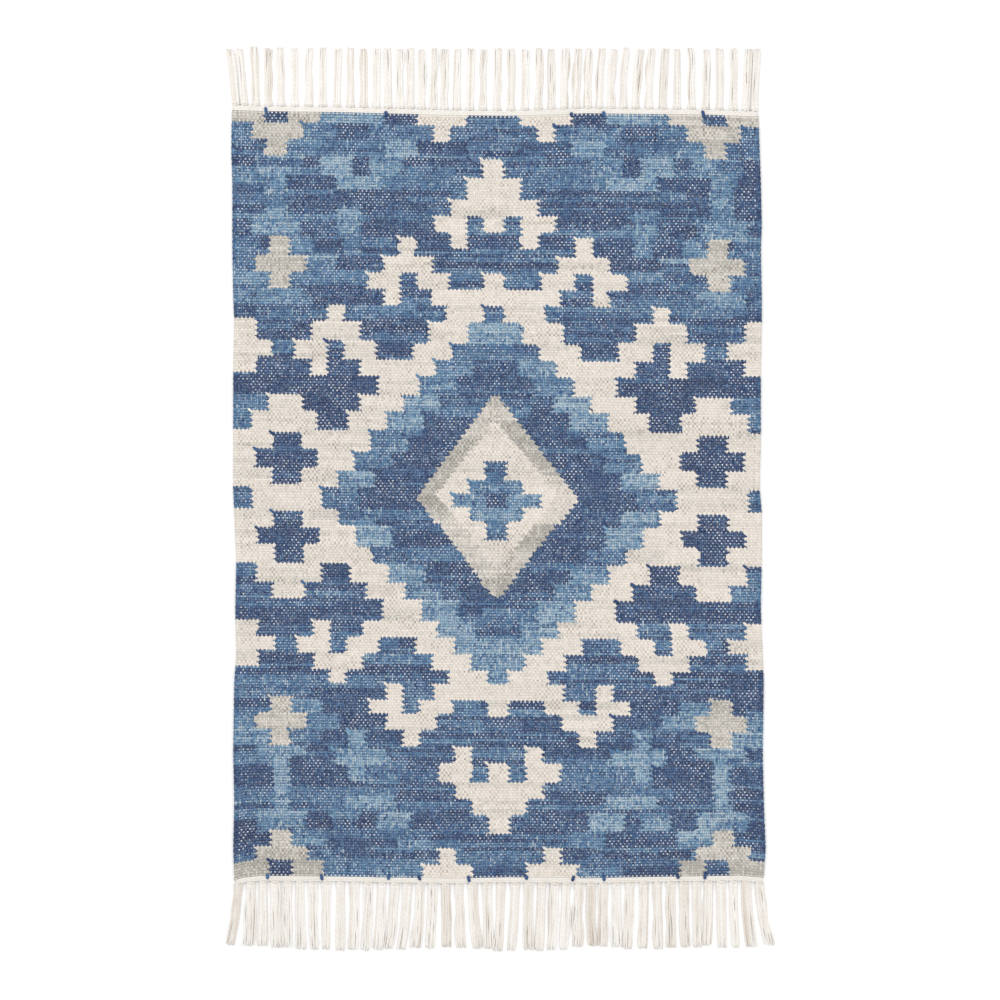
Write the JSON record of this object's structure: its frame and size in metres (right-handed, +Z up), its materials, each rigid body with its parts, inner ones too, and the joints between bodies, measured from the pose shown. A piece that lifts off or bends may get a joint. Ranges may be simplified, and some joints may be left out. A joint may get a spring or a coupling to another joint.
{
  "type": "kilim rug",
  "caption": "Small flatwoven cotton kilim rug lying flat, with wrapped selvedges, an undyed heading and a knotted warp fringe at each end.",
  "frame": {"origin": "on the floor under the middle of the whole rug, fringe included", "axes": "+X across the rug, +Y along it towards the neater fringe, +Z up from the floor"},
  "size_m": [0.6214, 1.0294, 0.0044],
  "materials": {
    "indigo_cloth": "matte weft-faced cotton weave in several blues, cream and grey-beige",
    "undyed_yarn": "matte undyed plied cotton"
  },
  "bodies": {
    "root": {"woven_field": "indigo_cloth", "fringe_far": "undyed_yarn", "fringe_near": "undyed_yarn"}
  },
  "joints": []
}
